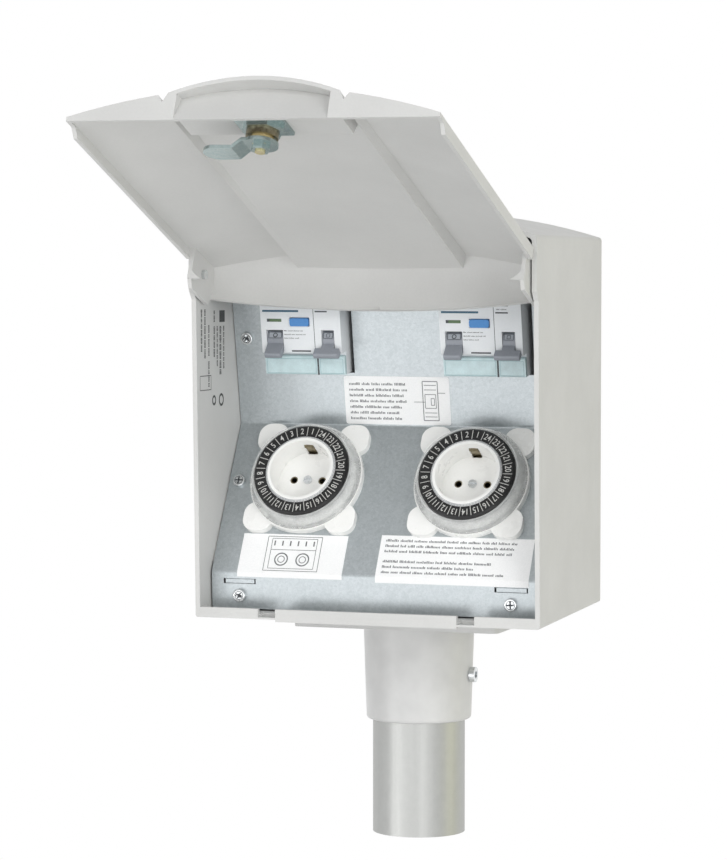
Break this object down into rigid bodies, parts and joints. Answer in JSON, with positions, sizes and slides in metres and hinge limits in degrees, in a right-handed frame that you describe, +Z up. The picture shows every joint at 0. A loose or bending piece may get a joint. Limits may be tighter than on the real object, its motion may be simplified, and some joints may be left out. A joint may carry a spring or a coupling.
{
  "type": "garden socket post",
  "caption": "Outdoor socket box on a round post, with its hinged lid open over timer sockets and breakers on a bent cover plate",
  "frame": {"origin": "centre of the post tube's lower end, on the tube's axis", "axes": "+Z up along the tube, -Y towards the open front, +X to the right as seen from the front"},
  "size_m": [0.2264, 0.3499, 0.477],
  "materials": {
    "tube_aluminium": "satin drawn tube",
    "collar_paint": "grey paint on a casting",
    "screw_steel": "zinc plated",
    "grey_moulding": "light grey moulding, fine grain",
    "galvanised_sheet": "galvanised sheet with a fine spangle",
    "breaker_plastic": "light grey plastic",
    "brass_parts": "plain brass",
    "lock_brass": "plated brass",
    "toggle_plastic": "mid grey plastic",
    "button_plastic": "blue plastic",
    "terminal_clear": "pale clear plastic",
    "socket_plastic": "white plastic",
    "collar_clear": "clear plastic",
    "dial_plastic": "black plastic with plain numbers",
    "zinc_parts": "zinc plated steel"
  },
  "bodies": {
    "post": {"post_tube": "tube_aluminium", "post_collar": "collar_paint", "collar_screw": "screw_steel", "flange_plate": "collar_paint", "flange_bolt_1": "screw_steel", "flange_bolt_2": "screw_steel", "flange_bolt_3": "screw_steel", "flange_bolt_4": "screw_steel", "housing": "grey_moulding", "cover_plate": "galvanised_sheet", "plate_screw_upper_left": "screw_steel", "plate_screw_upper_right": "screw_steel", "plate_screw_middle_left": "screw_steel", "plate_screw_middle_right": "screw_steel", "plate_screw_lip_left": "screw_steel", "plate_screw_lip_right": "screw_steel", "din_rail": "galvanised_sheet", "rail_bracket_left": "grey_moulding", "rail_bracket_right": "grey_moulding", "supply_terminals": "breaker_plastic", "earth_bar": "brass_parts", "rcd_body_left": "breaker_plastic", "mcb_body_left": "breaker_plastic", "terminal_cover_left": "terminal_clear", "timer_case_left": "socket_plastic", "timer_base_left": "socket_plastic", "timer_collar_left": "collar_clear", "socket_insert_left": "socket_plastic", "earth_strap_left": "brass_parts", "socket_screw_left": "screw_steel", "rcd_body_right": "breaker_plastic", "mcb_body_right": "breaker_plastic", "terminal_cover_right": "terminal_clear", "timer_case_right": "socket_plastic", "timer_base_right": "socket_plastic", "timer_collar_right": "collar_clear", "socket_insert_right": "socket_plastic", "earth_strap_right": "brass_parts", "socket_screw_right": "screw_steel", "pin_sleeve_left_a": "brass_parts", "pin_sleeve_left_b": "brass_parts", "pin_sleeve_right_a": "brass_parts", "pin_sleeve_right_b": "brass_parts", "hinge_pin_left": "screw_steel", "hinge_pin_right": "screw_steel"},
    "lid": {"lid": "grey_moulding", "lock_body": "brass_parts", "lock_plate": "zinc_parts", "lock_nut": "zinc_parts"},
    "lock_cam": {"lock_plug": "lock_brass", "lock_cam": "zinc_parts", "cam_nut": "zinc_parts"},
    "dial_left": {"timer_dial_left": "dial_plastic"},
    "rcd_toggle_left": {"rcd_toggle_left": "toggle_plastic"},
    "mcb_toggle_left": {"mcb_toggle_left": "toggle_plastic"},
    "rcd_button_left": {"rcd_button_left": "button_plastic"},
    "dial_right": {"timer_dial_right": "dial_plastic"},
    "rcd_toggle_right": {"rcd_toggle_right": "toggle_plastic"},
    "mcb_toggle_right": {"mcb_toggle_right": "toggle_plastic"},
    "rcd_button_right": {"rcd_button_right": "button_plastic"}
  },
  "joints": [
    {"name": "lid_hinge", "type": "hinge", "parent": "post", "child": "lid", "pos_m": [0, -0.1108, 0.3632], "axis": [1, 0, 0], "range_deg": [0, 113.5]},
    {"name": "lock_turn", "type": "hinge", "parent": "lid", "child": "lock_cam", "pos_m": [0, -0.2891, 0.43942], "axis": [0, 0.3739, 0.9275], "range_deg": [0, 90]},
    {"name": "dial_turn_left", "type": "hinge", "parent": "post", "child": "dial_left", "pos_m": [-0.055, -0.07106, 0.23783], "axis": [0, -0.8676, 0.4973], "continuous": true},
    {"name": "rcd_toggle_turn_left", "type": "hinge", "parent": "post", "child": "rcd_toggle_left", "pos_m": [-0.0761, -0.05688, 0.32177], "axis": [-1, 0, 0], "range_deg": [0, 70]},
    {"name": "mcb_toggle_turn_left", "type": "hinge", "parent": "post", "child": "mcb_toggle_left", "pos_m": [-0.04035, -0.05688, 0.32177], "axis": [-1, 0, 0], "range_deg": [0, 70]},
    {"name": "rcd_button_push_left", "type": "slide", "parent": "post", "child": "rcd_button_left", "axis": [0, 0.9826, 0.1857], "range_m": [0, 0.0015], "stiffness_N_per_m": 400, "springref_m": -0.001},
    {"name": "dial_turn_right", "type": "hinge", "parent": "post", "child": "dial_right", "pos_m": [0.055, -0.07106, 0.23783], "axis": [0, -0.8676, 0.4973], "continuous": true},
    {"name": "rcd_toggle_turn_right", "type": "hinge", "parent": "post", "child": "rcd_toggle_right", "pos_m": [0.0435, -0.05688, 0.32177], "axis": [-1, 0, 0], "range_deg": [0, 70]},
    {"name": "mcb_toggle_turn_right", "type": "hinge", "parent": "post", "child": "mcb_toggle_right", "pos_m": [0.07925, -0.05688, 0.32177], "axis": [-1, 0, 0], "range_deg": [0, 70]},
    {"name": "rcd_button_push_right", "type": "slide", "parent": "post", "child": "rcd_button_right", "axis": [0, 0.9826, 0.1857], "range_m": [0, 0.0015], "stiffness_N_per_m": 400, "springref_m": -0.001}
  ]
}
